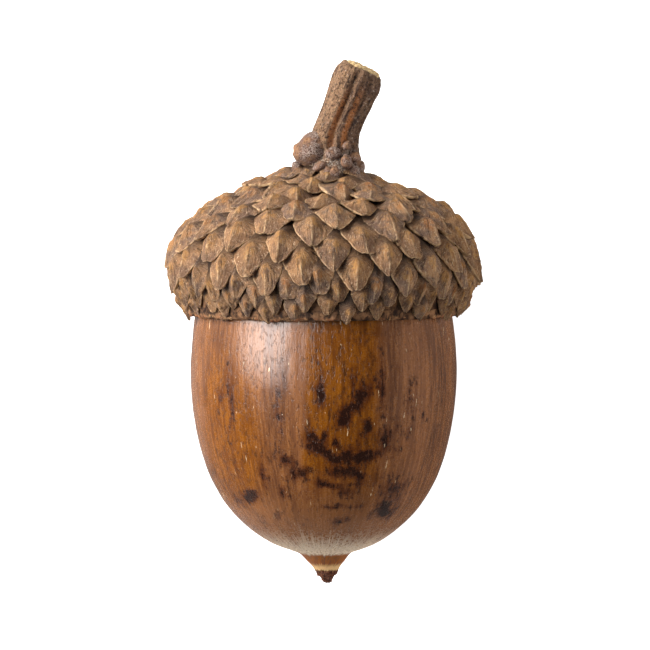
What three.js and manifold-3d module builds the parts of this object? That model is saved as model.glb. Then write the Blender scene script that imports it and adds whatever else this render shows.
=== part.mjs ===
// An acorn lying on its side: a smooth nut seated in a cup of overlapping scales, on a short woody stalk.
// Units are millimetres and +Z is up. The point of the nut is towards -Y and the stalk towards +Y.
// Each piece is built upright about its own long axis, local Y, with the point of the nut at 0.
import * as THREE from "three";
import { mergeVertices } from "three/addons/utils/BufferGeometryUtils.js";
import Module from "manifold-3d";

const wasm = await Module();
wasm.setup();

// ---- driving dimensions ----
const around = 40; // facets round the long axis
const clearance = 0.15; // between the nut, the cup and the stalk

const nutDiameter = 20;
const nutLength = 27.8;
const beakHeight = 2.4; // the small cone at the point of the nut

const rimHeight = 20.2; // the cup covers the nut from here up
const rimThickness = 0.35;
const cupTop = 30.9; // where the stalk stands
const cupRadius = 11.05; // of the wall that carries the scales
const seatRadius = 2.75; // level ground for the foot of the stalk

const goldenAngle = Math.PI * (3 - Math.sqrt(5)); // the turn from each scale to the next
const scaleArea = { stalk: 2.6, shoulder: 4.9, rim: 1.9 }; // wall that one scale has to itself
const scaleRise = 0.62; // how far a large scale stands out of the wall
const scaleSink = 0.45; // how deep its foot is set into the wall
const tipSink = 0.2;
// These four are shares of a scale's size, measured from its middle.
const scaleHalfWidth = 0.8;
const tipReach = 0.95;
const heelReach = 0.85;
const apexReach = 0.12;

const stalkFoot = new THREE.Vector2(0.5, cupTop + clearance);
const stalkBend = new THREE.Vector2(0.85, 34.2);
const stalkEnd = new THREE.Vector2(3.1, 38.8);
const stalkLean = 0.6; // how far the cut end leans upwards, out of the plane of its bend
const ridgeCount = 6; // long ridges that grow stronger towards the cut end
const ridgeHeight = 0.07; // a share of the stalk's radius
const knob = { radius: 1.1, x: -1.25, height: 32.35, z: 0.5 }; // a bud that never grew

const restOnCup = { radius: 11.35, height: 22.7 }; // the two places that touch the ground
const restOnNut = { radius: 9.66, height: 12 };
const flatDepth = 0.12; // how deep the two small resting flats are

// ---- outlines: radius and height, from the point of the nut upwards ----
function nutOutline() {
  const half = nutDiameter / 2;
  const beak = new THREE.SplineCurve([
    new THREE.Vector2(0.3, 0.12),
    new THREE.Vector2(0.56, 0.5),
    new THREE.Vector2(1.0, 1.05),
    new THREE.Vector2(1.95, beakHeight),
  ]);
  const body = new THREE.SplineCurve([
    new THREE.Vector2(3.1, 2.78),
    new THREE.Vector2(4.85, 3.7),
    new THREE.Vector2(6.95, 5.5),
    new THREE.Vector2(8.75, 8.6),
    new THREE.Vector2(9.66, 12),
    new THREE.Vector2(half, 16.2),
    new THREE.Vector2(9.72, 20.2),
    new THREE.Vector2(8.75, 23.8),
    new THREE.Vector2(6.7, 26.4),
    new THREE.Vector2(3.4, nutLength - 0.2),
  ]);
  const base = new THREE.Vector2(0, nutLength);
  return [new THREE.Vector2(0, 0), ...beak.getPoints(4), ...body.getPoints(20), base];
}

function cupWall() {
  return new THREE.SplineCurve([
    new THREE.Vector2(2.0, cupTop),
    new THREE.Vector2(3.5, 30.35),
    new THREE.Vector2(5.5, 29.45),
    new THREE.Vector2(7.6, 28.5),
    new THREE.Vector2(9.45, 27.1),
    new THREE.Vector2(10.6, 25.45),
    new THREE.Vector2(cupRadius, 23.7),
    new THREE.Vector2(10.75, 22),
    new THREE.Vector2(10.1 + rimThickness, 20.9),
  ]);
}

// The cavity follows the nut at a constant distance.
function cavityOutline() {
  const nut = nutOutline();
  const points = [];
  nut.forEach((point, i) => {
    if (point.y < rimHeight || i === nut.length - 1) return;
    const along = nut[i + 1].clone().sub(nut[i - 1]).normalize();
    points.push(new THREE.Vector2(point.x + along.y * clearance, point.y - along.x * clearance));
  });
  return [...points, new THREE.Vector2(0, nutLength + clearance)];
}

// ---- solids ----
function solidOf(geometry) {
  const bare = geometry.clone();
  bare.deleteAttribute("normal");
  bare.deleteAttribute("uv");
  const merged = mergeVertices(bare, 1e-4);
  return new wasm.Manifold(
    new wasm.Mesh({
      numProp: 3,
      vertProperties: merged.attributes.position.array,
      triVerts: new Uint32Array(merged.index.array),
    }),
  );
}

function geometryOf(solid) {
  const mesh = solid.getMesh();
  const geometry = new THREE.BufferGeometry();
  geometry.setAttribute("position", new THREE.BufferAttribute(mesh.vertProperties, 3));
  geometry.setIndex(new THREE.BufferAttribute(mesh.triVerts, 1));
  geometry.computeVertexNormals();
  return geometry;
}

const turned = (outline) => solidOf(new THREE.LatheGeometry(outline, around));

function cupShell() {
  const cavity = cavityOutline();
  const rimEdge = new THREE.Vector2(cavity[0].x + rimThickness, rimHeight);
  const outline = [new THREE.Vector2(0, cupTop), ...cupWall().getPoints(12), rimEdge, ...cavity];
  return turned(outline.reverse());
}

// Scales are small by the stalk, largest at the shoulder and crowded at the rim.
function areaAt(share) {
  const fromStalk = THREE.MathUtils.smoothstep(share, 0, 0.4);
  const towardsRim = THREE.MathUtils.smoothstep(share, 0.66, 1);
  const grown = THREE.MathUtils.lerp(scaleArea.stalk, scaleArea.shoulder, fromStalk);
  return THREE.MathUtils.lerp(grown, scaleArea.rim, towardsRim);
}

// One scale is a keeled pyramid with its tip towards the rim and its heel towards the stalk.
function scaleSolid(point, towardsRim, turn, size) {
  const pyramid = new THREE.ConeGeometry(1, 1, 4).rotateX(Math.PI / 2);
  const corners = pyramid.attributes.position;
  for (let i = 0; i < corners.count; i++) {
    const along = corners.getY(i);
    corners.setX(i, corners.getX(i) * size * scaleHalfWidth);
    if (corners.getZ(i) > 0) {
      corners.setY(i, size * apexReach);
      corners.setZ(i, scaleRise * Math.min(1, size / 2.2));
    } else {
      corners.setY(i, along * size * (along > 0 ? tipReach : heelReach));
      corners.setZ(i, along > 0.5 ? -tipSink : -scaleSink);
    }
  }
  const outward = new THREE.Vector3(-towardsRim.y, towardsRim.x, 0);
  const downwards = new THREE.Vector3(towardsRim.x, towardsRim.y, 0);
  const across = new THREE.Vector3().crossVectors(downwards, outward);
  const place = new THREE.Matrix4().makeBasis(across, downwards, outward);
  place.setPosition(point.x, point.y, 0);
  pyramid.applyMatrix4(place).rotateY(turn);
  return solidOf(pyramid);
}

// Scales follow one spiral down the wall, a golden angle apart, as bracts grow.
function cupScales() {
  const wall = cupWall();
  const steps = 600;
  const stepLength = wall.getLength() / steps;
  const solids = [];
  let grown = 0;
  for (let step = 1; step < steps; step++) {
    const share = step / steps;
    const point = wall.getPointAt(share);
    const area = areaAt(share);
    grown += (2 * Math.PI * point.x * stepLength) / area;
    while (grown > solids.length + 0.5) {
      const turn = solids.length * goldenAngle;
      solids.push(scaleSolid(point, wall.getTangentAt(share), turn, Math.sqrt(area)));
    }
  }
  return solids;
}

// The wall with its scales, hollowed again where they reach inside, and level where the stalk stands.
function cupSolid() {
  const cavity = cavityOutline();
  const room = turned([new THREE.Vector2(0, 0), new THREE.Vector2(cavity[0].x, 0), ...cavity]);
  const seat = new THREE.CylinderGeometry(seatRadius, seatRadius, 4, 24).translate(0, cupTop + 2, 0);
  const grown = cupScales().reduce((cup, scale) => cup.add(scale), cupShell());
  return grown.subtract(room).subtract(solidOf(seat));
}

function stalkSolid() {
  const girth = new THREE.SplineCurve([
    new THREE.Vector2(2.25, 0),
    new THREE.Vector2(1.95, 0.16),
    new THREE.Vector2(1.62, 0.42),
    new THREE.Vector2(1.72, 0.7),
    new THREE.Vector2(1.85, 0.9),
    new THREE.Vector2(1.5, 1),
  ]);
  const outline = [new THREE.Vector2(0, 0), ...girth.getPoints(14), new THREE.Vector2(0, 1)];
  const stem = new THREE.LatheGeometry(outline, 24);
  const path = new THREE.QuadraticBezierCurve(stalkFoot, stalkBend, stalkEnd);
  const vertices = stem.attributes.position;
  for (let i = 0; i < vertices.count; i++) {
    const share = THREE.MathUtils.clamp(vertices.getY(i), 0, 1);
    const centre = path.getPoint(share);
    const along = share === 0 ? new THREE.Vector2(0, 1) : path.getTangent(share);
    const angle = Math.atan2(vertices.getX(i), vertices.getZ(i));
    const ridged = 1 + ridgeHeight * share * Math.cos(ridgeCount * angle);
    const across = vertices.getX(i) * ridged;
    const lean = stalkLean * share * share;
    vertices.setXYZ(
      i,
      centre.x + across * along.y,
      centre.y - across * along.x,
      vertices.getZ(i) * ridged + lean,
    );
  }
  const bud = new THREE.SphereGeometry(knob.radius, 14, 10).translate(knob.x, knob.height, knob.z);
  return solidOf(stem).add(solidOf(bud));
}

// ---- the lying pose: the shoulder of the cup and the belly of the nut both touch the ground ----
const tilt = Math.atan(
  (restOnCup.radius - restOnNut.radius) / (restOnCup.height - restOnNut.height),
);
const lying = new THREE.Group();
lying.rotation.x = tilt;
lying.position.z =
  restOnCup.radius * Math.cos(tilt) - restOnCup.height * Math.sin(tilt) - flatDepth;
const acorn = new THREE.Group();
acorn.name = "acorn";
acorn.add(lying);
acorn.updateMatrixWorld(true);

const slab = new THREE.BoxGeometry(90, 90, 10).translate(0, 0, -5);
const ground = solidOf(slab.applyMatrix4(lying.matrixWorld.clone().invert()));

// ---- the three pieces ----
const nutSkin = new THREE.MeshStandardMaterial({ color: 0x9a5f35, roughness: 0.35, metalness: 0 });
const cupBark = new THREE.MeshStandardMaterial({ color: 0x8a6c4b, roughness: 0.9, metalness: 0 });
const stalkBark = new THREE.MeshStandardMaterial({ color: 0x735441, roughness: 0.85, metalness: 0 });

function addPiece(name, solid, material) {
  const piece = new THREE.Mesh(geometryOf(solid), material);
  piece.name = name;
  lying.add(piece);
}

addPiece("nut", turned(nutOutline()).subtract(ground), nutSkin);
addPiece("cup", cupSolid().subtract(ground), cupBark);
addPiece("stalk", stalkSolid(), stalkBark);

// The origin is on the ground, below the middle of the acorn.
const middle = new THREE.Box3().setFromObject(acorn, true).getCenter(new THREE.Vector3());
lying.position.x -= middle.x;
lying.position.y -= middle.y;

export default acorn;
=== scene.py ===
import math
import random

import bpy
from mathutils import Matrix, Vector, noise


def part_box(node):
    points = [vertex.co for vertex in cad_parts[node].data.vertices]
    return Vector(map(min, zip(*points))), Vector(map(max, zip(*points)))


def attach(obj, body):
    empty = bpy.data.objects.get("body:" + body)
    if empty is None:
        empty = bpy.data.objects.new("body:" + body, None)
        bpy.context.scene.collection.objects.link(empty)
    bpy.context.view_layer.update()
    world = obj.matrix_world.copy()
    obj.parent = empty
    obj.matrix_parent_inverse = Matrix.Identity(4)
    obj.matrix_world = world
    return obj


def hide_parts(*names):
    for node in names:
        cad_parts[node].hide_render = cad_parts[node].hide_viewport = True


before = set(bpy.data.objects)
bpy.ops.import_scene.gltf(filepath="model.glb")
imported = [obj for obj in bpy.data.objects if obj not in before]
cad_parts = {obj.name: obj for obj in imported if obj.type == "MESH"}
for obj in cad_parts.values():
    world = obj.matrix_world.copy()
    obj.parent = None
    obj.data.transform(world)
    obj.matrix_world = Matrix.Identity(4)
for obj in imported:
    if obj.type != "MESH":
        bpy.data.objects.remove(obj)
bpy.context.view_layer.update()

scene = bpy.context.scene

# Every piece is modelled upright, point down and front towards -Y, one unit to a millimetre,
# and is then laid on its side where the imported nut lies.
lying = {
    "lean": 8.975,  # degrees that the long axis rises
    "pointHeight": 7.55,  # from the ground to the nut's point
}

nutLow, nutHigh = (Vector(corner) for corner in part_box("nut"))
pointOfNut = Vector(((nutLow.x + nutHigh.x) / 2, nutLow.y, lying["pointHeight"] / 1000))
uprightToLying = (
    Matrix.Translation(pointOfNut)
    @ Matrix.Rotation(math.radians(lying["lean"] - 90), 4, "X")
    @ Matrix.Scale(0.001, 4)
)


# Tools that several pieces share
def mix(a, b, share):
    return a + (b - a) * share


def smooth(low, high, value):
    share = min(1, max(0, (value - low) / (high - low)))
    return share * share * (3 - 2 * share)


def curveThrough(points, count):  # evenly shared points on a smooth line through the given ones
    ends = [points[0]] + list(points) + [points[-1]]
    fine = 24  # short steps from one point to the next
    dense = []
    for i in range(1, len(ends) - 2):
        a, b, c, d = (Vector(p) for p in ends[i - 1 : i + 3])
        squared, cubed = 2 * a - 5 * b + 4 * c - d, 3 * b - a - 3 * c + d
        for step in range(fine):
            t = step / fine
            dense.append(0.5 * (2 * b + (c - a) * t + squared * t * t + cubed * t**3))
    dense.append(Vector(points[-1]))
    lengths = [0]
    for before, after in zip(dense, dense[1:]):
        lengths.append(lengths[-1] + (after - before).length)
    line, k = [], 0
    for step in range(count):
        target = lengths[-1] * step / (count - 1)
        while k < len(dense) - 2 and lengths[k + 1] < target:
            k += 1
        share = (target - lengths[k]) / max(1e-9, lengths[k + 1] - lengths[k])
        line.append(dense[k].lerp(dense[k + 1], min(1, share)))
    return line


def nothingSelected():
    if bpy.context.object and bpy.context.object.mode == "EDIT":
        bpy.ops.object.mode_set(mode="OBJECT")
    bpy.ops.object.select_all(action="DESELECT")


def only(piece):
    nothingSelected()
    piece.select_set(True)
    bpy.context.view_layer.objects.active = piece


def pick(piece, wanted):  # in edit mode: selects the vertices whose place is wanted
    bpy.ops.mesh.select_mode(type="VERT")
    bpy.ops.mesh.select_all(action="DESELECT")
    bpy.ops.object.mode_set(mode="OBJECT")
    for vertex in piece.data.vertices:
        vertex.select = bool(wanted(vertex.co))
    bpy.ops.object.mode_set(mode="EDIT")


def turnOutline(name, outline, steps):  # outline: (radius, height) from one end of the axis to the other
    nothingSelected()
    bpy.ops.mesh.primitive_plane_add(size=1, location=(0, 0, 0))
    piece = bpy.context.object
    piece.name = name
    bpy.ops.object.mode_set(mode="EDIT")
    bpy.ops.mesh.select_all(action="SELECT")
    bpy.ops.mesh.merge(type="CENTER")
    bpy.ops.transform.translate(value=(outline[0][0], 0, outline[0][1]))
    for before, after in zip(outline, outline[1:]):
        bpy.ops.mesh.extrude_region_move(
            TRANSFORM_OT_translate={"value": (after[0] - before[0], 0, after[1] - before[1])}
        )
    bpy.ops.mesh.select_all(action="SELECT")
    bpy.ops.mesh.spin(steps=steps, angle=2 * math.pi, center=(0, 0, 0), axis=(0, 0, 1))
    bpy.ops.mesh.select_all(action="SELECT")
    bpy.ops.mesh.remove_doubles(threshold=0.001)
    bpy.ops.mesh.normals_make_consistent(inside=False)
    bpy.ops.object.mode_set(mode="OBJECT")
    return piece


def subdivided(piece, levels):
    only(piece)
    finer = piece.modifiers.new("finer", "SUBSURF")
    finer.levels = finer.render_levels = levels
    bpy.ops.object.modifier_apply(modifier=finer.name)


def roughened(piece, size, depth, stretch=(1, 1, 1), group="", direction="NORMAL"):
    # pushes the surface in and out by a cloudy pattern, which an empty stretches along its axes;
    # size, depth and stretch come from the dictionary of the piece
    nothingSelected()
    bpy.ops.object.empty_add(location=(0, 0, 0))
    guide = bpy.context.object
    guide.scale = stretch
    pattern = bpy.data.textures.new(piece.name + "Clouds", "CLOUDS")
    pattern.noise_scale = size
    pattern.noise_depth = 3
    only(piece)
    push = piece.modifiers.new("rough", "DISPLACE")
    push.texture = pattern
    push.texture_coords = "OBJECT"
    push.texture_coords_object = guide
    push.strength = depth
    push.direction = direction
    push.vertex_group = group
    bpy.context.view_layer.update()
    bpy.ops.object.modifier_apply(modifier=push.name)
    bpy.data.objects.remove(guide)


def weighted(piece, name, weightAt):  # a vertex group whose weight follows the place
    group = piece.vertex_groups.new(name=name)
    for vertex in piece.data.vertices:
        weight = weightAt(vertex.co)
        if weight > 0:
            group.add([vertex.index], weight, "REPLACE")
    return name


def joined(pieces, name):
    nothingSelected()
    for piece in pieces:
        piece.select_set(True)
    bpy.context.view_layer.objects.active = pieces[0]
    bpy.ops.object.join()
    pieces[0].name = name
    return pieces[0]


def laidDown(piece, material, slot, *nodes):
    bpy.context.view_layer.update()
    piece.matrix_world = uprightToLying @ piece.matrix_world
    only(piece)
    bpy.ops.object.transform_apply(location=True, rotation=True, scale=True)
    bpy.ops.object.mode_set(mode="EDIT")
    pick(piece, lambda p: p.z < 0)  # what would sink into the ground is pressed flat
    bpy.ops.transform.resize(value=(1, 1, 0), center_override=(0, 0, 0))
    bpy.ops.object.mode_set(mode="OBJECT")
    bpy.ops.object.shade_smooth()
    piece.data.name = piece.name
    piece.data.materials.clear()
    piece.data.materials.append(material)
    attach(piece, "root")
    if nodes:
        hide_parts(*nodes)
    print("made", piece.name, len(piece.data.polygons), "faces")


# A wire is a socket that can be reckoned with, so shader maths reads like sums.
class Wire:
    def __init__(self, tree, socket=None):
        self.tree = tree
        self.socket = socket

    def node(self, kind, settings, values, out=0):
        made = self.tree.nodes.new("ShaderNode" + kind)
        for name, setting in settings.items():
            setattr(made, name, setting)
        for name, value in values.items():
            if isinstance(value, Wire):
                self.tree.links.new(value.socket, made.inputs[name])
            else:
                made.inputs[name].default_value = value
        return Wire(self.tree, made.outputs[out])

    def maths(self, operation, *values):
        return self.node("Math", {"operation": operation}, dict(enumerate(values)))

    def __add__(self, other):
        return self.maths("ADD", self, other)

    def __sub__(self, other):
        return self.maths("SUBTRACT", self, other)

    def __mul__(self, other):
        return self.maths("MULTIPLY", self, other)

    def __truediv__(self, other):
        return self.maths("DIVIDE", self, other)

    def __radd__(self, other):
        return self.maths("ADD", other, self)

    def __rsub__(self, other):
        return self.maths("SUBTRACT", other, self)

    def __rmul__(self, other):
        return self.maths("MULTIPLY", other, self)

    def __pow__(self, other):
        return self.maths("POWER", self, other)

    def larger(self, other):
        return self.maths("MAXIMUM", self, other)

    def size(self):
        return self.maths("ABSOLUTE", self)

    def between(self, low, high):  # 0 at low, 1 at high, smooth; low may be the larger one
        return self.node(
            "MapRange",
            {"interpolation_type": "SMOOTHSTEP"},
            {"Value": self, "From Min": low, "From Max": high},
        )

    def parts(self):
        split = self.node("SeparateXYZ", {}, {"Vector": self})
        return [Wire(self.tree, socket) for socket in split.socket.node.outputs]

    def vector(self, x, y, z):
        return self.node("CombineXYZ", {}, {0: x, 1: y, 2: z})

    def noise(self, scale, detail, rough=0.55):
        values = {"Vector": self, "Scale": scale, "Detail": detail, "Roughness": rough}
        return self.node("TexNoise", {}, values)

    def blend(self, first, second):  # two colours by this wire as the share of the second
        return self.node("Mix", {"data_type": "RGBA"}, {"Factor": self, 6: first, 7: second}, 2)

    def bump(self, strength, distance, normal=None):
        values = {"Height": self, "Strength": strength, "Distance": distance}
        if normal:
            values["Normal"] = normal
        return self.node("Bump", {}, values)


def colour(hexCode):  # a screen colour such as "8a6c4b" as light values
    parts = (int(hexCode[i : i + 2], 16) / 255 for i in (0, 2, 4))
    return tuple(p / 12.92 if p <= 0.04045 else ((p + 0.055) / 1.055) ** 2.4 for p in parts) + (1,)


def grey(level):
    return (level, level, level, 1)


def newMaterial(name):
    material = bpy.data.materials.new(name)
    material.use_nodes = True
    tree = material.node_tree
    shader = tree.nodes["Principled BSDF"]
    return material, shader, Wire(tree)


def finishShader(paint, shader, fixed, varying):  # values that are the same all over, then wires
    for name, value in fixed.items():
        shader.inputs[name].default_value = value
    for name, wire in varying.items():
        paint.tree.links.new(wire.socket, shader.inputs[name])


def uprightPlace(paint):  # the place on the piece in millimetres, with the acorn upright again
    back = Matrix.Rotation(math.radians(90 - lying["lean"]), 4, "X")
    here = paint.node("TexCoord", {}, {}, "Object")
    return paint.node(
        "Mapping",
        {},
        {
            "Vector": here,
            "Location": -(back @ (pointOfNut * 1000)),
            "Rotation": (math.radians(90 - lying["lean"]), 0, 0),
            "Scale": (1000, 1000, 1000),
        },
    )


# Camera, floor and light
view = {
    "middleHeight": 19.55, "across": 0.11, "width": 48.9,  # mm on the acorn
    "fromStalk": 3,  # degrees by which the camera looks from the stalk's side
    "lens": 200, "sensor": 36,
}
light = {
    "key": 3.3, "window": 2.2, "fill": 1.3, "back": 0.12, "sky": 0.15,
    "floor": 0.72, "floorInGloss": 0.25, "floorGlow": 0.9, "backdrop": 1.0,
}

looksAt = uprightToLying @ Vector((view["across"], 0, view["middleHeight"]))
tipBack = math.radians(lying["lean"] - view["fromStalk"])
distance = view["width"] / 1000 * view["lens"] / view["sensor"]
bpy.ops.object.camera_add(
    location=looksAt + distance * Vector((0, -math.sin(tipBack), math.cos(tipBack))), rotation=(tipBack, 0, 0)
)
camera = bpy.context.object
camera.name = "camera"
camera.data.lens = view["lens"]
camera.data.sensor_width = view["sensor"]
camera.data.clip_start = 0.01
scene.camera = camera
scene.view_settings.view_transform = "Standard"


def softLight(name, place, size, watts, lights=True, shines=True):
    # a rectangle of light that faces the acorn, and lights surfaces, shows in their gloss, or both
    bpy.ops.object.light_add(type="AREA", location=place)
    lamp = bpy.context.object
    lamp.name = name
    lamp.rotation_euler = (looksAt - Vector(place)).to_track_quat("-Z", "Y").to_euler()
    lamp.data.shape = "RECTANGLE"
    lamp.data.size, lamp.data.size_y = size
    lamp.data.energy = watts
    lamp.visible_diffuse, lamp.visible_glossy = lights, shines


softLight("keyLight", (-0.25, 0.09, 0.165), (0.26, 0.18), light["key"], shines=False)
softLight("windowLight", (-0.225, 0.02, 0.215), (0.13, 0.24), light["window"], lights=False)
softLight("fillLight", (0.33, -0.01, 0.09), (0.3, 0.2), light["fill"], shines=False)
softLight("backLight", (-0.06, 0.34, 0.14), (0.24, 0.1), light["back"])

sky = bpy.data.worlds.new("paleRoom")
sky.use_nodes = True
room = Wire(sky.node_tree)
seen = room.node("LightPath", {}, {}, "Is Camera Ray")  # the room looks white and gives a softer light
sky.node_tree.nodes["Background"].inputs["Color"].default_value = (1, 1, 1, 1)
strength = light["sky"] + seen * (light["backdrop"] - light["sky"])
sky.node_tree.links.new(strength.socket, sky.node_tree.nodes["Background"].inputs["Strength"])
scene.world = sky

nothingSelected()
bpy.ops.mesh.primitive_plane_add(size=3, location=(0, 0, 0))
floor = bpy.context.object
floor.name = "floor"
floorPaint, shader, paint = newMaterial("paleFloor")
pale = uprightPlace(paint).noise(0.02, 2).blend(grey(light["floor"]), grey(light["floor"] + 0.02))
# a floor that is duller in reflections keeps the nut's gloss from going milky
inGloss = paint.node("LightPath", {}, {}, "Is Glossy Ray")
finishShader(
    paint, shader, {"Roughness": 0.9, "Specular IOR Level": 0.1, "Emission Color": (1, 1, 1, 1)},
    {
        "Base Color": inGloss.blend(pale, grey(light["floorInGloss"])),
        "Emission Strength": paint.node("LightPath", {}, {}, "Is Camera Ray") * light["floorGlow"],
    },
)
floor.data.materials.append(floorPaint)
print("camera, floor and light are up")


# The nut is turned from its outline, point included.
nut = {
    "steps": 128,
    "beak": [(0.0, 0.0), (0.17, 0.02), (0.36, 0.22), (0.5, 0.5), (0.68, 0.72), (0.86, 0.98), (0.93, 1.12)],
    "cone": [(0.93, 1.12), (1.06, 1.34), (1.4, 1.72), (1.74, 2.13), (2.02, 2.4)],
    "body": [
        (2.02, 2.4), (2.5, 2.58), (3.2, 2.8), (4.17, 3.23), (4.89, 3.69), (5.49, 4.14), (6.47, 5.04),
        (7.26, 5.94), (7.86, 6.84), (8.38, 7.75), (8.76, 8.65), (9.21, 10), (9.55, 11.36), (9.85, 13.16),
        (10, 14.96), (10.02, 16.3), (9.93, 18.1), (9.74, 19.9), (9.4, 22), (8.6, 24.2), (6.9, 26.3),
        (4.2, 27.5), (0, 27.8),
    ],
    "beakLean": 0.3,  # how far the point stands to the right
    # what roughens it: (size, depth, stretch)
    "waves": (5.5, 0.16, (1, 1, 1.6)),
    "furrows": (0.55, 0.05, (1, 1, 14)),
    "beakLumps": (0.28, 0.42),
    "coneFibres": (0.12, 0.05, (1, 1, 3)),
}


def makeNut(look):
    outline = curveThrough(look["beak"], 12)[:-1] + curveThrough(look["cone"], 8)[:-1]
    outline += curveThrough(look["body"], 70)
    outline[0] = Vector((0, 0))
    outline[-1] = Vector((0, look["body"][-1][1]))
    piece = turnOutline("nutBody", outline, look["steps"])
    subdivided(piece, 1)
    roughened(piece, *look["waves"])
    shell = weighted(piece, "shell", lambda p: smooth(3, 6, p.z))
    roughened(piece, *look["furrows"], group=shell)
    beak = weighted(piece, "beak", lambda p: 1 - smooth(0.8, 1.15, p.z))
    roughened(piece, *look["beakLumps"], group=beak)
    cone = weighted(piece, "cone", lambda p: smooth(1, 1.2, p.z) - smooth(2.6, 3.6, p.z))
    roughened(piece, *look["coneFibres"], group=cone)
    for vertex in piece.data.vertices:
        vertex.co.x += look["beakLean"] * (1 - smooth(0, 4.5, vertex.co.z))
    return piece


# Dark stains on the front: (right, height, half length, half width, degrees of lean to the right, how dark)
stains = [
    (-0.15, 15.15, 0.55, 0.26, 0, 1.0), (-0.35, 16.6, 1.2, 0.09, 0, 0.7), (2.15, 16.3, 0.65, 0.24, 5, 0.7),
    (2.4, 14.5, 1.3, 0.34, 40, 1.0), (1.6, 13.6, 0.6, 0.38, 15, 1.0), (3.2, 12.6, 0.36, 0.3, 20, 1.0),
    (4.3, 15.6, 1.5, 0.15, 0, 0.8), (3.0, 12.0, 0.5, 0.2, 50, 0.6), (-0.9, 11.6, 0.5, 0.34, -10, 1.0),
    (0.05, 11.8, 0.45, 0.2, 12, 0.9), (0.73, 11.5, 0.3, 0.22, 0, 0.9), (0.1, 10.8, 0.95, 0.26, -48, 1.0),
    (1.3, 10.4, 0.8, 0.34, 65, 1.0), (2.6, 10.35, 1.1, 0.22, 78, 1.0), (4.5, 11.5, 0.6, 0.36, 15, 0.9),
    (3.7, 10.5, 0.7, 0.2, 45, 0.8), (1.5, 9.5, 0.85, 0.3, 80, 0.9), (2.3, 9.1, 0.6, 0.24, 110, 0.9),
    (0.4, 8.4, 0.95, 0.24, 95, 0.9), (1.5, 7.7, 0.5, 0.2, 100, 0.7), (2.6, 8.3, 0.4, 0.22, 70, 0.7),
    (0.8, 6.6, 0.75, 0.14, 85, 0.8), (2.7, 6.7, 0.5, 0.13, 80, 0.6), (1.3, 5.5, 0.4, 0.18, 60, 0.7),
    (5.0, 7.2, 1.0, 0.75, 10, 0.55), (4.6, 6.3, 0.5, 0.38, 0, 1.0), (5.3, 7.9, 0.7, 0.22, 70, 0.8),
    (6.35, 14.2, 1.0, 0.28, 10, 0.5), (6.1, 11.8, 0.45, 0.18, 8, 0.6), (5.3, 12.8, 0.5, 0.16, 0, 0.5),
    (5.3, 10.7, 0.5, 0.26, 60, 0.5), (7.45, 13.2, 0.4, 0.16, 0, 0.4), (-1.8, 9.2, 0.55, 0.32, 60, 0.8),
    (-2.7, 10.1, 0.6, 0.3, 110, 0.8), (-2.9, 7.7, 0.32, 0.26, 0, 0.8), (-4.4, 8.9, 1.0, 0.16, 0, 0.7),
    (-5.4, 7.3, 0.6, 0.3, 75, 0.9), (-6.3, 6.7, 0.5, 0.18, 120, 0.6), (-3.25, 14.4, 2.3, 0.14, 2, 0.7),
    (-6.9, 14.2, 2.0, 0.17, -3, 0.7), (-7.6, 14.4, 0.5, 0.16, 10, 0.7), (-3.4, 5.9, 0.25, 0.22, 0, 0.6),
    (3.5, 5.8, 0.25, 0.24, 0, 0.5), (-4.4, 5.0, 0.5, 0.14, -35, 0.5),
]

nutFinish = {
    "brown": colour("694126"), "tawny": colour("86552d"), "amber": colour("562c04"),
    "honey": colour("7c4707"), "plum": colour("452818"), "stain": colour("160603"),
    "halo": colour("371405"), "fleck": colour("e8cda6"), "down": colour("f8e6c8"),
    "cone": colour("935010"), "collar": colour("d8b27a"), "beak": colour("6c412b"),
    "roughness": 0.26,
    "seed": 9,  # for how the stains stray
}


def stained(piece, look, places):
    # how near each point of the front is to the nearest of the stains, 1 in their middle
    noise.seed_set(look["seed"])
    nearest = []
    for vertex in piece.data.vertices:
        spot = vertex.co
        drift = noise.noise_vector(spot * 0.9) * 0.35 + noise.noise_vector(spot * 2.3) * 0.12
        near = 0
        for right, height, half, wide, lean, dark in places if spot.y < 1 else ():
            x, z = spot.x + drift.x - right, spot.z + drift.z - height
            if abs(x) + abs(z) < 5:
                turn = math.radians(lean)
                along = x * math.sin(turn) + z * math.cos(turn)
                across = x * math.cos(turn) - z * math.sin(turn)
                near = max(near, dark * (1 - smooth(0, 3, math.hypot(along / half, across / wide))))
        nearest.append(near * smooth(0.5, -2, spot.y))
    piece.data.attributes.new("stain", "FLOAT", "POINT").data.foreach_set("value", nearest)


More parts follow.
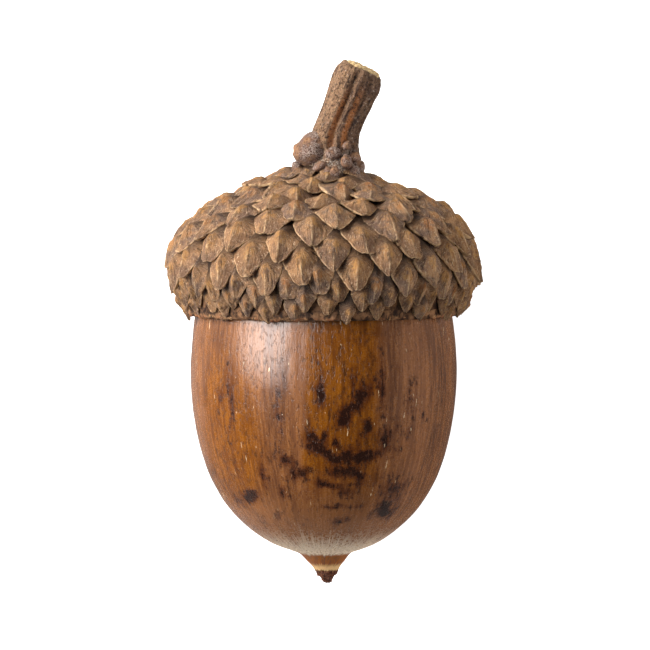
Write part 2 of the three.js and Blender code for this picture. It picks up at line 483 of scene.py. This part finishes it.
def nutMaterial(look):
    material, shader, paint = newMaterial("nutSkin")
    place = uprightPlace(paint)
    x, y, z = place.parts()
    radius = (x * x + y * y) ** 0.5
    east, north = x / radius, y / radius
    streaks = paint.vector(east * 10, north * 10, z * 0.09)  # runs down the shell and meets at the point
    fine = streaks.noise(3.2, 5, 0.7)
    broad = streaks.noise(0.42, 3, 0.5)
    warp = place.noise(0.55, 3, 0.6)
    wander = place.noise(1.7, 4, 0.7)
    grain = place.noise(8, 3, 0.7)
    front = y.between(0.5, -2)

    # amber windows in a brown shell: two at the front, the rest wherever the broad streaks say
    shifted = x + (warp - 0.5) * 1.4 + (fine - 0.5) * 1.1
    lower = z + (wander - 0.5) * 3.2
    centreWindow = shifted.between(-1.7, -1.0) * shifted.between(4.5, 3.6) * lower.between(6.0, 10.5)
    leftWindow = shifted.between(-9.3, -8.3) * shifted.between(-3.6, -5.6)
    leftWindow = leftWindow * lower.between(5.4, 7.6) * lower.between(20, 15)
    elsewhere = broad.between(0.53, 0.66) * lower.between(5, 9) * (1 - front)
    window = (centreWindow.larger(leftWindow) * front).larger(elsewhere)

    brown = broad.between(0.36, 0.62).blend(look["plum"], look["brown"])
    brown = (fine.between(0.35, 0.7) * 0.75).blend(brown, look["tawny"])
    brown = (z.between(9, 4.5) * 0.55).blend(brown, look["tawny"])
    amber = fine.between(0.3, 0.72).blend(look["amber"], look["honey"])
    amber = (warp.between(0.55, 0.35) * 0.35).blend(amber, look["halo"])
    skin = window.blend(brown, amber)

    # dark stains, torn up by a ragged pattern, with dashes scattered round them
    ragged = place.noise(2.6, 5, 0.75)
    dashes = paint.vector(east * 10, north * 10, z * 0.42).noise(2.9, 4, 0.65)
    near = paint.node("Attribute", {"attribute_name": "stain"}, {}, "Fac")
    torn = near + (dashes - 0.5) * 0.9 + (ragged - 0.5) * 1.1
    soaked = near.between(0.05, 0.35)
    halo = torn.between(0.1, 0.7) * soaked
    core = torn.between(0.52, 0.84) * soaked
    about = near.between(0.0, 0.2).larger(window * 0.7)
    freckles = (dashes * 0.55 + ragged * 0.45).between(0.515, 0.585) * about * lower.between(4.2, 7)
    lonely = (dashes * 0.6 + ragged * 0.4).between(0.585, 0.64) * lower.between(4.2, 7) * 0.7
    dark = core.larger(freckles * 0.8).larger(lonely)
    skin = (halo * 0.75).blend(skin, look["halo"])
    skin = (dark * 0.88).blend(skin, look["stain"])

    # fine dark pores and pale flecks that follow the streaks
    pores = paint.vector(east * 10, north * 10, z * 0.35).noise(7.5, 2, 0.5).between(0.58, 0.66)
    skin = (pores * 0.6).blend(skin, look["plum"])
    flecks = paint.vector(east * 10, north * 10, z * 0.2).noise(4.6, 3, 0.6).between(0.68, 0.74)
    skin = (flecks * 0.75).blend(skin, look["fleck"])

    # towards the point: pale down, the tawny cone, a pale collar and the dark beak
    speckle = place.noise(5.0, 3, 0.7)
    downy = (z + (speckle - 0.5) * 5 + (fine - 0.5) * 6).between(4.4, 2.7)
    down = (speckle * 0.6 + fine * 0.4).between(0.34, 0.58).blend(look["tawny"], look["down"])
    skin = (downy * 0.92).blend(skin, down)
    hairs = paint.vector(east * 3, north * 3, z * 0.5).noise(4, 4, 0.7)
    cone = hairs.between(0.3, 0.7).blend(look["cone"], look["brown"])
    low = z + (hairs - 0.5) * 0.6
    skin = low.between(2.55, 2.25).blend(skin, cone)
    skin = (low.between(1.7, 1.3) * 0.75).blend(skin, look["collar"])
    skin = low.between(1.16, 1.04).blend(skin, grain.between(0.42, 0.58).blend(look["beak"], look["halo"]))

    gloss = look["roughness"] + (fine - 0.5) * 0.2 + (grain - 0.5) * 0.25 + downy * 0.45
    relief = (fine * 0.8 + pores * -0.3 + flecks * 0.3 + dark * -0.3).bump(0.5, 0.00008)
    relief = (grain * (0.2 + downy)).bump(0.5, 0.00007, relief)
    finishShader(
        paint, shader, {"Coat Roughness": 0.2, "Specular IOR Level": 0.27},
        {"Base Color": skin, "Roughness": gloss, "Normal": relief, "Coat Weight": (1 - downy) * 0.08},
    )
    return material


nutBody = makeNut(nut)
stained(nutBody, nutFinish, stains)
laidDown(nutBody, nutMaterial(nutFinish), "nut_skin", "nut")


# The wall of the cup, mostly hidden by its scales
cup = {
    "steps": 96,
    "wall": [
        (0, 30.7), (2.2, 30.6), (3.5, 30.15), (5.5, 29.25), (7.6, 28.3), (9.4, 26.95), (10.5, 25.35),
        (10.88, 23.7), (10.68, 22), (10.42, 20.95),
    ],
    "rim": [(10.42, 20.95), (10.3, 20.45), (10.12, 20.3), (9.98, 20.5)],
    "inside": [(9.98, 20.5), (9.62, 22), (8.85, 24.3), (7.1, 26.5), (4.3, 27.75), (0, 28.0)],
    "lumps": (0.5, 0.2),
}


def makeCupWall(look):
    outline = curveThrough(look["wall"], 26)[:-1] + curveThrough(look["rim"], 6)[:-1]
    outline += curveThrough(look["inside"], 14)
    piece = turnOutline("cupWall", outline, look["steps"])
    subdivided(piece, 1)
    outside = weighted(piece, "outside", lambda p: 1 if p.z > 28.2 or p.xy.length > 10.25 else 0)
    roughened(piece, *look["lumps"], group=outside)
    return piece


# The scales of the cup: five shapes, copied along a spiral from the stalk to the rim
scale = {
    # (along, half width, height of the keel, height of the edge), in shares of a scale's size
    "rows": [
        (-0.95, 0.40, -0.14, -0.18), (-0.55, 0.62, 0.03, -0.10), (-0.18, 0.72, 0.25, -0.03),
        (0.06, 0.74, 0.39, 0.02), (0.34, 0.66, 0.34, 0.045), (0.62, 0.46, 0.26, 0.06),
        (0.86, 0.24, 0.18, 0.065), (1.04, 0.03, 0.11, 0.07),
    ],
    # how much of the keel's height each column has, from the edge to the keel
    "columns": {1: 0, 0.667: 0.27, 0.333: 0.58, 0: 1},
    "thickness": 0.08,
    "keelCrease": 0.85,
    "edgeCrease": 0.6,
}
scaleKinds = [  # narrower or wider, a keel off the middle, a blunt or a long tip
    {"wide": 1.0, "keelShift": 0.0, "tip": 1.0, "blunt": 0.0, "hollow": 0.0},
    {"wide": 0.94, "keelShift": 0.07, "tip": 1.06, "blunt": 0.05, "hollow": 0.03},
    {"wide": 1.06, "keelShift": -0.08, "tip": 0.95, "blunt": 0.14, "hollow": -0.02},
    {"wide": 1.02, "keelShift": 0.12, "tip": 0.9, "blunt": 0.2, "hollow": 0.02},
    {"wide": 0.9, "keelShift": -0.13, "tip": 1.0, "blunt": 0.08, "hollow": -0.03},
]
spiral = {
    "seed": 11,
    "wall": [
        (2.0, 30.9), (3.5, 30.35), (5.5, 29.45), (7.6, 28.5), (9.45, 27.1), (10.6, 25.45), (11.05, 23.7),
        (10.75, 22), (10.45, 20.9),
    ],
    "steps": 600,
    "area": {"stalk": 2.6, "shoulder": 4.9, "rim": 1.9},  # mm2 of wall that one scale has to itself
    "jitter": 0.05,
    "bracts": {"count": 10, "height": 31.1},  # small ones that stand round the foot of the stalk
    "fringe": {"count": 66, "radius": 10.15, "height": 21.45},  # small thin ones that make the ragged edge
    # each piece holds the scales between two shares of the way from the stalk to the rim
    "bands": {
        "crownScales": (0, 0.42), "shoulderScales": (0.42, 0.66), "flankScales": (0.66, 0.83),
        "rimScales": (0.83, 1), "rimFringe": (1, 1.01),
    },
    "lumps": (0.9, 0.26),
    "grain": (0.22, 0.09),
}


def makeScale(look, kind, number):
    rows = look["rows"]
    nothingSelected()
    bpy.ops.mesh.primitive_grid_add(
        x_subdivisions=6, y_subdivisions=len(rows) - 1, size=2, location=(0, 0, 0)
    )
    piece = bpy.context.object
    piece.name = "scale" + str(number)
    bpy.ops.object.mode_set(mode="EDIT")
    # each point goes from the flat grid to its place in the scale; + 10 keeps it from being picked twice
    for i, (along, half, keel, edge) in enumerate(rows):
        flatAlong = -1 + 2 * i / (len(rows) - 1)
        half = half * kind["wide"] + (kind["blunt"] if i > 5 else 0)
        along = along * kind["tip"] if i > 3 else along
        for flatAcross in (-1, -0.667, -0.333, 0, 0.333, 0.667, 1):
            rise = edge + (keel - edge) * look["columns"][abs(flatAcross)]
            rise = rise + kind["hollow"] * math.sin(flatAcross * math.pi)
            across = flatAcross * half + kind["keelShift"] * (1 - abs(flatAcross)) * half
            pick(piece, lambda p: abs(p.y - flatAlong) < 0.01 and abs(p.x - flatAcross) < 0.01)
            bpy.ops.transform.translate(value=(across - flatAcross, along - flatAlong + 10, rise))
    bpy.ops.mesh.select_all(action="SELECT")
    bpy.ops.transform.translate(value=(0, -10, 0))
    # the crisp keel
    pick(piece, lambda p: abs(p.x - kind["keelShift"] * 0.6) < 0.13 and 0 < p.y < 1.2 and p.z > 0.1)
    bpy.ops.transform.edge_crease(value=look["keelCrease"])
    # the thickness: the border goes down and a face closes it below
    bpy.ops.mesh.select_all(action="SELECT")
    bpy.ops.mesh.region_to_loop()
    bpy.ops.transform.edge_crease(value=look["edgeCrease"])
    bpy.ops.mesh.extrude_region_move(TRANSFORM_OT_translate={"value": (0, 0, -look["thickness"])})
    bpy.ops.transform.resize(value=(0.9, 0.94, 1))
    bpy.ops.mesh.edge_face_add()
    bpy.ops.mesh.select_all(action="SELECT")
    bpy.ops.mesh.normals_make_consistent(inside=False)
    bpy.ops.object.mode_set(mode="OBJECT")
    return piece


def areaAt(areas, share):
    grown = mix(areas["stalk"], areas["shoulder"], smooth(0, 0.4, share))
    return mix(grown, areas["rim"], smooth(0.66, 1, share))


def spiralPlaces(look):
    # from the stalk to the rim: (share of the wall, radius, height, direction to the rim, turn, size)
    steps = look["steps"]
    wall = curveThrough(look["wall"], steps + 1)
    stepLength = sum((b - a).length for a, b in zip(wall, wall[1:])) / steps
    goldenAngle = math.pi * (3 - math.sqrt(5))
    places = []
    grown = 0
    for step in range(1, steps):
        radius, height = wall[step]
        area = areaAt(look["area"], step / steps)
        grown += 2 * math.pi * radius * stepLength / area
        while grown > len(places) + 0.5:
            towardsRim = (wall[step + 1] - wall[step - 1]).normalized()
            turn = len(places) * goldenAngle
            places.append((step / steps, radius, height, towardsRim, turn, math.sqrt(area)))
    return places


def placeScale(look, kinds, place, chance):
    share, radius, height, towardsRim, turn, size = place
    piece = chance.choice(kinds).copy()
    piece.data = piece.data.copy()
    bpy.context.collection.objects.link(piece)
    wild = 1 - smooth(0.15, 0.5, share)  # untidy near the stalk
    rimward = smooth(0.72, 0.98, share)
    slim = smooth(0.4, 0.75, share)  # longer and narrower on the flank
    long = size * mix(1, 0.8, rimward) * mix(1, 1.1, slim) * chance.uniform(0.92, 1.08)
    wide = size * mix(1, 0.86, rimward) * mix(1, 0.86, slim) * chance.uniform(0.93, 1.07)
    thick = size * mix(1.12, 0.95, rimward) * mix(1, 0.9, wild) * chance.uniform(0.85, 1.2)
    outward = Vector((-towardsRim.y, 0, towardsRim.x))
    down = Vector((towardsRim.x, 0, towardsRim.y))
    across = down.cross(outward)
    basis = Matrix((across, down, outward)).transposed().to_4x4()
    tilt = Matrix.Rotation(math.radians(chance.gauss(3, 2 + 7 * wild) - 3 * rimward), 4, "X")
    twist = Matrix.Rotation(math.radians(chance.gauss(0, 4 + 12 * wild)), 4, "Z")
    roll = Matrix.Rotation(math.radians(chance.gauss(0, 2.5 + 6 * wild)), 4, "Y")
    jitter = Vector((chance.gauss(0, look["jitter"]), chance.gauss(0, look["jitter"]), 0))
    jitter = (jitter - Vector((0, 0.28 * rimward, 0))) * size
    lift = chance.uniform(-0.02, 0.04) * size
    piece.matrix_world = (
        Matrix.Rotation(turn, 4, "Z")
        @ Matrix.Translation((radius, 0, height))
        @ basis
        @ Matrix.Translation(jitter + Vector((0, 0, lift)))
        @ twist @ tilt @ roll
        @ Matrix.Diagonal((wide, long, thick, 1))
    )
    tone = piece.data.attributes.new("tone", "FLOAT", "POINT")
    value = chance.random()
    tone.data.foreach_set("value", [value] * len(piece.data.vertices))
    return piece


def makeScales(look):
    chance = random.Random(look["seed"])
    kinds = [makeScale(scale, kind, number) for number, kind in enumerate(scaleKinds)]
    places = spiralPlaces(look)
    print("the spiral has places for", len(places), "scales")
    bracts, fringe = look["bracts"], look["fringe"]
    for i in range(bracts["count"]):
        turn = math.radians(360 / bracts["count"] * i + chance.uniform(-12, 12))
        radius, size = chance.uniform(2.3, 2.7), chance.uniform(1.0, 1.3)
        places.append((0.01, radius, bracts["height"], Vector((0.75, -0.66)), turn, size))
    for i in range(fringe["count"]):
        turn = math.radians(360 / fringe["count"] * i + chance.uniform(-2, 2))
        height, size = fringe["height"] + chance.uniform(-0.15, 0.15), chance.uniform(0.75, 1.1)
        places.append((1.0, fringe["radius"], height, Vector((-0.12, -0.99)), turn, size))
    pieces = []
    for name, (start, end) in look["bands"].items():
        copies = [placeScale(look, kinds, place, chance) for place in places if start <= place[0] < end]
        band = joined(copies, name)
        only(band)
        bpy.ops.object.transform_apply(location=True, rotation=True, scale=True)
        subdivided(band, 2)
        roughened(band, *look["lumps"])
        roughened(band, *look["grain"])
        pieces.append(band)
    for kind in kinds:
        bpy.data.objects.remove(kind)
    return pieces


cupFinish = {
    # edge is the pale of the scales' thin margins, and also the colour of the painted highlights on their
    # edges and keels
    "bark": colour("79563a"), "pale": colour("a0764f"), "dark": colour("21120a"), "umbo": colour("b58145"),
    "rust": colour("8a4a28"), "hair": colour("ccb08e"), "edge": colour("cfab80"), "grey": colour("6d5445"),
    "apart": 37,  # keeps the fibres of two scales from being alike
}


def scaleMaterial(look):
    material, shader, paint = newMaterial("scaleBark")
    place = uprightPlace(paint)
    across, along = paint.node("UVMap", {}, {}).parts()[:2]
    tone = paint.node("Attribute", {"attribute_name": "tone"}, {}, "Fac")
    offset = tone * look["apart"]
    side = (across - 0.5) * 2
    reach = (along - 0.5) * 2
    sideways = side.size()
    # fibres fan out from the hump to the edges
    fan = side.maths("ARCTAN2", side, reach + 0.35)
    outwards = (side * side + reach * reach) ** 0.5
    fibres = paint.vector(fan * 2.6, outwards * 0.7, offset).noise(2.6, 5, 0.72)
    hairs = paint.vector(fan * 7, outwards * 1.6, offset).noise(3, 3, 0.7)
    mottle = place.noise(0.9, 4, 0.65)
    grit = place.noise(5.5, 4, 0.75)
    soft = place.noise(1.9, 4, 0.65)
    dust = place.noise(11, 2, 0.6)

    base = tone.between(0.1, 0.9).blend(look["bark"], look["grey"])
    base = (mottle.between(0.42, 0.62) * 0.8).blend(base, look["pale"])
    hump = (side * side * 4.5 + (reach - 0.05) * (reach - 0.05) * 6).between(1, 0.1)
    hump = hump * soft.between(0.38, 0.58)
    base = (hump * 0.75).blend(base, look["umbo"])
    rusty = (mottle * 0.5 + tone * 0.5).between(0.55, 0.72) * hump
    base = (rusty * 0.6).blend(base, look["rust"])
    # painted highlight: a pale line of the edge colour along each scale's keel, where the crest catches the
    # light
    keel = sideways.between(0.14, 0.02) * along.between(0.5, 0.66) * soft.between(0.4, 0.6)
    base = (keel * 0.7).blend(base, look["edge"])
    base = (fibres.between(0.5, 0.34) * 0.75).blend(base, look["dark"])
    base = (hairs.between(0.56, 0.68) * 0.7).blend(base, look["hair"])
    base = (grit.between(0.46, 0.34) * 0.5).blend(base, look["dark"])
    base = (dust.between(0.62, 0.72) * 0.7).blend(base, look["hair"])
    # pale border of each scale: partly the scales' own thin pale margins, partly painted highlight along
    # their edges
    border = sideways.between(0.88, 1.0).larger(along.between(0.95, 1.0))
    base = (border * fibres.between(0.35, 0.6) * 0.9).blend(base, look["edge"])
    # painted shade: each scale darkens towards its base, where it lies under the tips of the scales above
    base = (along.between(0.45, 0.15) * 0.8).blend(base, look["dark"])
    relief = (fibres + grit * 0.4).bump(1.0, 0.00028)
    relief = (hairs * 0.6 + dust * 0.4).bump(0.7, 0.0001, relief)
    finishShader(
        paint, shader, {"Specular IOR Level": 0.3},
        {"Base Color": base, "Roughness": 0.82 - fibres * 0.18, "Normal": relief},
    )
    return material


def wallMaterial(look):
    material, shader, paint = newMaterial("cupWallBark")
    place = uprightPlace(paint)
    mottle = place.noise(1.4, 4, 0.65)
    grit = place.noise(8, 3, 0.75)
    base = mottle.between(0.35, 0.7).blend(look["dark"], look["bark"])
    base = (grit.between(0.45, 0.3) * 0.6).blend(base, look["dark"])
    relief = (mottle + grit * 0.5).bump(0.6, 0.0001)
    finishShader(
        paint, shader, {"Specular IOR Level": 0.2},
        {"Base Color": base, "Roughness": 0.95 - mottle * 0.1, "Normal": relief},
    )
    return material


laidDown(makeCupWall(cup), wallMaterial(cupFinish), "cup_bark", "cup")
scaleBark = scaleMaterial(cupFinish)
for band in makeScales(spiral):
    laidDown(band, scaleBark, "cup_bark")


# The rim is a thin frayed lining pressed against the nut.
rim = {
    "steps": 200,
    "outline": [
        (10.02, 21.7), (9.97, 21.1), (9.99, 20.58), (10.1, 20.36), (10.28, 20.42), (10.4, 20.7),
        (10.46, 21.1), (10.36, 21.7), (10.02, 21.7),
    ],
    "fray": (1.6, 0.6),
    "teeth": (0.34, 0.4, (1, 1, 3)),
}


def makeRim(look):
    outline = curveThrough(look["outline"][:-1], 16)
    outline.append(outline[0].copy())
    piece = turnOutline("rimLining", outline, look["steps"])
    subdivided(piece, 1)
    lip = weighted(piece, "lip", lambda p: smooth(21.5, 20.6, p.z) if p.xy.length > 10.08 else 0.25)
    roughened(piece, *look["fray"], group=lip, direction="Z")
    roughened(piece, *look["teeth"], group=lip)
    return piece


def rimMaterial(look):
    material, shader, paint = newMaterial("rimBark")
    place = uprightPlace(paint)
    x, y, z = place.parts()
    fibres = paint.vector(x * 2.4, y * 2.4, z * 0.8).noise(2.6, 5, 0.75)
    patches = place.noise(1.1, 4, 0.7)
    base = patches.between(0.4, 0.6).blend(look["dark"], look["bark"])
    lip = (z + (patches - 0.5) * 0.8).between(20.7, 20.4)
    base = (lip * 0.8).blend(base, patches.between(0.45, 0.6).blend(look["pale"], look["rust"]))
    base = (fibres.between(0.56, 0.42) * patches.between(0.7, 0.4)).blend(base, look["dark"])
    finishShader(
        paint, shader, {"Specular IOR Level": 0.25},
        {"Base Color": base, "Roughness": 0.9 - fibres * 0.1, "Normal": fibres.bump(0.6, 0.0001)},
    )
    return material


laidDown(makeRim(rim), rimMaterial(cupFinish), "cup_bark")


# The stalk is modelled straight, grooved, and then bent joint by joint.
stalk = {
    "steps": 64,
    "foot": (0.62, 0, 30.6),
    # (radius, distance along the stalk)
    "outline": [
        (0, 0), (2.35, 0.02), (2.35, 0.9), (2.12, 1.6), (1.94, 2.4), (1.8, 3.3), (1.72, 4.2), (1.76, 5.4),
        (1.86, 6.5), (1.94, 7.35), (1.88, 7.95), (1.68, 8.4), (1.5, 8.63), (1.34, 8.61), (0.7, 8.4),
        (0, 8.35),
    ],
    # (distance along, degrees to the right, degrees towards the front)
    "bends": [(0.8, 7, 0), (2.6, 3, 0), (3.2, 5, 1), (3.8, 5, 1), (4.5, 3, 1), (5.2, 0, 1), (7.8, 3, 0)],
    # (degrees from the front to the right, half width in degrees, depth, start and end along the stalk)
    "grooves": [
        (-8, 8, 0.42, 2.2, 8.4), (14, 7, 0.26, 2.2, 8.5), (36, 10, 0.36, 1.6, 8.5), (66, 8, 0.18, 3, 8.6),
        (100, 12, 0.3, 1.5, 8.6), (145, 10, 0.28, 1.5, 8.6), (190, 12, 0.3, 1.5, 8.6),
        (238, 10, 0.24, 2, 8.6), (-62, 10, 0.1, 4, 8.6), (-32, 6, 0.1, 5, 8.6),
    ],
    "ridges": (0.7, 0.22, (1, 1, 5)),
    "grain": (0.2, 0.09, (1, 1, 2.5)),
    "crumble": (0.3, 0.16),
}


def sideAngle(place):  # degrees round the axis from the front, to the right
    return math.degrees(math.atan2(place.x, -place.y))


def makeStalk(look):
    outline = curveThrough(look["outline"][1:], 44)
    outline = [Vector((0, 0))] + outline[:-1] + [Vector((0, outline[-1].y))]
    piece = turnOutline("stalkBark", outline, look["steps"])
    bpy.ops.object.mode_set(mode="EDIT")
    for angle, half, depth, start, end in look["grooves"]:
        for width, share in ((1.5, 0.4), (0.75, 0.6)):  # a wide shallow pass and a narrow deep one
            pick(
                piece,
                lambda p: start < p.z < end and p.xy.length > 0.9
                and abs((sideAngle(p) - angle + 180) % 360 - 180) < half * width,
            )
            bpy.ops.transform.shrink_fatten(value=-depth * share)
    bpy.ops.object.mode_set(mode="OBJECT")
    subdivided(piece, 1)
    bark = weighted(piece, "bark", lambda p: smooth(0.5, 1.2, p.xy.length))
    roughened(piece, *look["ridges"], group=bark)
    roughened(piece, *look["grain"], group=bark)
    cut = weighted(piece, "cut", lambda p: smooth(8.2, 8.5, p.z))
    roughened(piece, *look["crumble"], group=cut)
    bend(piece, look["bends"])
    piece.location = look["foot"]
    return piece


def bend(piece, bends):  # turns all that is above each joint a little further
    centre, turned = Vector((0, 0, 0)), Matrix.Identity(3)
    before = 0
    for along, right, forward in bends:
        centre = centre + turned @ Vector((0, 0, along - before))
        before = along
        axis = turned @ Vector((0, 0, 1))
        step = Matrix.Rotation(math.radians(right), 3, "Y") @ Matrix.Rotation(math.radians(forward), 3, "X")
        bpy.ops.object.mode_set(mode="EDIT")
        pick(piece, lambda p: (p - centre).dot(axis) > 0)
        for degrees, name in ((forward, "X"), (right, "Y")):
            if degrees:
                bpy.ops.transform.rotate(
                    value=-math.radians(degrees), orient_axis=name, orient_type="GLOBAL",
                    center_override=centre,
                )
        bpy.ops.object.mode_set(mode="OBJECT")
        turned = step @ turned


stalkFinish = {
    "bark": colour("5f4535"), "mauve": colour("8c6a4d"), "tan": colour("b08d66"), "plum": colour("5c4038"),
    "dark": colour("21130d"), "orange": colour("a05f2a"), "grey": colour("b8a999"), "pith": colour("c4aa7c"),
    "pithDark": colour("7c5d3b"),
}


def stalkMaterial(look):
    material, shader, paint = newMaterial("stalkBark")
    place = uprightPlace(paint)
    x, y, z = place.parts()
    # across, from the middle of the leaning stalk
    straight = x - 0.98 - (z - 33.1) * 0.105 - (z - 34).larger(0) * 0.3
    fibres = paint.vector(straight * 2.2, y * 2.2, z * 0.45).noise(2.2, 4, 0.7)
    pits = place.noise(5, 4, 0.75)
    grit = place.noise(9, 3, 0.75)
    patches = place.noise(0.8, 3, 0.6)
    base = straight.between(0.5, -0.9).blend(look["bark"], look["mauve"])
    base = (patches.between(0.4, 0.62) * 0.4).blend(base, look["mauve"])
    leftSide = straight.between(0.2, -0.4)
    base = (grit.between(0.5, 0.42) * leftSide * 0.5).blend(base, look["plum"])
    base = (grit.between(0.52, 0.62) * leftSide * 0.6).blend(base, look["tan"])
    base = (fibres.between(0.52, 0.36) * 0.8).blend(base, look["dark"])
    warmLeft = (straight + 0.5).size().between(0.34, 0.08)
    warmRight = (straight - 0.48).size().between(0.34, 0.08)
    warm = warmLeft.larger(warmRight) * z.between(32.4, 33.6) * z.between(37.8, 36.0) * y.between(0, -0.8)
    base = (warm * 0.8).blend(base, look["orange"])
    base = (pits.between(0.5, 0.38) * 0.85).blend(base, look["dark"])
    base = (pits.between(0.58, 0.68) * 0.6).blend(base, look["grey"])
    foot = (z + (patches - 0.5) * 1.2).between(33.2, 31.6)
    dusty = grit.between(0.45, 0.6) * foot
    base = (dusty * 0.7).blend(base, look["grey"])
    relief = (fibres * 0.8 + pits).bump(0.9, 0.0003)
    relief = grit.bump(0.5, 0.0001, relief)
    finishShader(
        paint, shader, {"Specular IOR Level": 0.3},
        {"Base Color": base, "Roughness": 0.8 - fibres * 0.15, "Normal": relief},
    )
    return material


barkOfStalk = stalkMaterial(stalkFinish)
laidDown(makeStalk(stalk), barkOfStalk, "stalk_bark", "stalk")


# The pale end of the stalk where it was cut
pith = {
    "steps": 40,
    "outline": [(0, 8.1), (1.2, 8.1), (1.34, 8.4), (1.35, 8.64), (1.15, 8.78), (0.7, 8.82), (0, 8.8)],
    "crumble": (0.3, 0.3),
    "grain": (0.12, 0.14),
}


def makePith(look):
    outline = [Vector(point) for point in look["outline"]]
    piece = turnOutline("stalkPith", outline, look["steps"])
    subdivided(piece, 2)
    roughened(piece, *look["crumble"])
    roughened(piece, *look["grain"])
    bend(piece, stalk["bends"])
    piece.location = stalk["foot"]
    return piece


def pithMaterial(look):
    material, shader, paint = newMaterial("stalkPith")
    place = uprightPlace(paint)
    fibre = place.noise(4.5, 4, 0.7)
    rings = place.noise(1.8, 3, 0.6)
    base = fibre.between(0.35, 0.6).blend(look["pithDark"], look["pith"])
    base = (rings.between(0.52, 0.66) * 0.5).blend(base, look["orange"])
    finishShader(
        paint, shader, {"Specular IOR Level": 0.2},
        {"Base Color": base, "Roughness": 0.9 - fibre * 0.08, "Normal": fibre.bump(0.8, 0.00012)},
    )
    return material


laidDown(makePith(pith), pithMaterial(stalkFinish), "stalk_bark")


# The bud and the small swellings at the foot of the stalk
bud = {
    "place": (-0.95, -0.95, 32.7),
    "radius": 1.3,
    "crease": 0.05,
    "lumps": (1.1, 0.24),
    "grain": (0.25, 0.06),
}


def makeBud(look):
    nothingSelected()
    bpy.ops.mesh.primitive_ico_sphere_add(subdivisions=4, radius=look["radius"], location=(0, 0, 0))
    piece = bpy.context.object
    piece.name = "stalkBud"
    bpy.ops.object.mode_set(mode="EDIT")
    pick(piece, lambda p: p.z < -0.3)  # broad where it joins the stalk, drawn in above
    bpy.ops.transform.resize(value=(1.12, 1.1, 1.15))
    pick(piece, lambda p: p.z > 0.45)
    bpy.ops.transform.resize(value=(0.92, 0.9, 1.05))
    bpy.ops.transform.translate(value=(0.2, 0.2, 0.08))
    for angle in (-50, 35, 120, 200):
        pick(piece, lambda p: abs((sideAngle(p) - angle + 180) % 360 - 180) < 9 and p.z < 0.7)
        bpy.ops.transform.shrink_fatten(value=-look["crease"])
    bpy.ops.object.mode_set(mode="OBJECT")
    subdivided(piece, 1)
    roughened(piece, *look["lumps"])
    roughened(piece, *look["grain"])
    piece.location = look["place"]
    return piece


swellings = {
    # (right, front to back, height, size, how tall, lean in degrees)
    "places": [
        (0.72, -1.9, 32.45, 0.66, 0.9, 10), (1.66, -2.15, 31.85, 0.56, 1.15, -8),
        (1.72, -1.6, 33.05, 0.36, 1.2, 20), (2.3, -1.15, 32.0, 0.6, 1.1, 20),
        (2.65, -0.6, 31.4, 0.6, 1.0, 40), (2.25, -1.8, 31.2, 0.62, 0.7, 35),
        (0.34, -2.8, 31.15, 0.36, 1.1, -14), (0.8, -2.9, 31.05, 0.44, 1.25, 10),
        (-0.3, -2.2, 31.5, 0.6, 0.6, -30), (-2.0, -1.2, 31.4, 0.5, 1.1, -45),
        (0.3, 2.2, 31.7, 0.6, 1.0, 0), (-1.3, 1.7, 31.5, 0.6, 1.1, -20),
        (1.9, 1.5, 31.6, 0.55, 1.1, 25), (2.7, 0.5, 31.5, 0.5, 1.0, 40),
        (-1.9, 0.6, 31.4, 0.55, 1.0, -30),
    ],
    "seed": 5,
    "lumps": (0.6, 0.12),
    "grain": (0.2, 0.05),
}


def makeSwellings(look):
    nothingSelected()
    bpy.ops.mesh.primitive_ico_sphere_add(subdivisions=2, radius=1, location=(0, 0, 0))
    first = bpy.context.object
    bpy.ops.object.mode_set(mode="EDIT")
    pick(first, lambda p: p.z > 0.5)
    bpy.ops.transform.resize(value=(0.75, 0.8, 1))
    pick(first, lambda p: abs(p.x - 0.15) < 0.2 and p.y < 0)
    bpy.ops.transform.shrink_fatten(value=-0.22)
    bpy.ops.object.mode_set(mode="OBJECT")
    chance = random.Random(look["seed"])
    copies = []
    for right, back, height, size, tall, lean in look["places"]:
        piece = first.copy()
        piece.data = first.data.copy()
        bpy.context.collection.objects.link(piece)
        piece.matrix_world = (
            Matrix.Translation((right, back, height))
            @ Matrix.Rotation(math.radians(lean), 4, "Y")
            @ Matrix.Rotation(chance.uniform(0, 6.28), 4, "Z")
            @ Matrix.Diagonal((size, size * 0.9, size * tall, 1))
        )
        copies.append(piece)
    bpy.data.objects.remove(first)
    piece = joined(copies, "stalkSwellings")
    only(piece)
    bpy.ops.object.transform_apply(location=True, rotation=True, scale=True)
    subdivided(piece, 2)
    roughened(piece, *look["lumps"])
    roughened(piece, *look["grain"])
    return piece


def budMaterial(look):
    material, shader, paint = newMaterial("budBark")
    place = uprightPlace(paint)
    patches = place.noise(0.9, 4, 0.65)
    grit = place.noise(6, 4, 0.75)
    dust = place.noise(12, 2, 0.6)
    base = patches.between(0.42, 0.72).blend(look["plum"], look["mauve"])
    base = (grit.between(0.5, 0.4) * 0.7).blend(base, look["dark"])
    base = (patches.between(0.6, 0.7) * 0.15).blend(base, look["orange"])
    base = (dust.between(0.42, 0.62) * patches.between(0.58, 0.42) * 0.55).blend(base, look["grey"])
    relief = (grit * 0.8 + dust * 0.4).bump(0.8, 0.00014)
    finishShader(
        paint, shader, {"Specular IOR Level": 0.25},
        {"Base Color": base, "Roughness": 0.9 - grit * 0.1, "Normal": relief},
    )
    return material


barkOfBud = budMaterial(stalkFinish)
laidDown(makeBud(bud), barkOfBud, "stalk_bark")
laidDown(makeSwellings(swellings), barkOfBud, "stalk_bark")
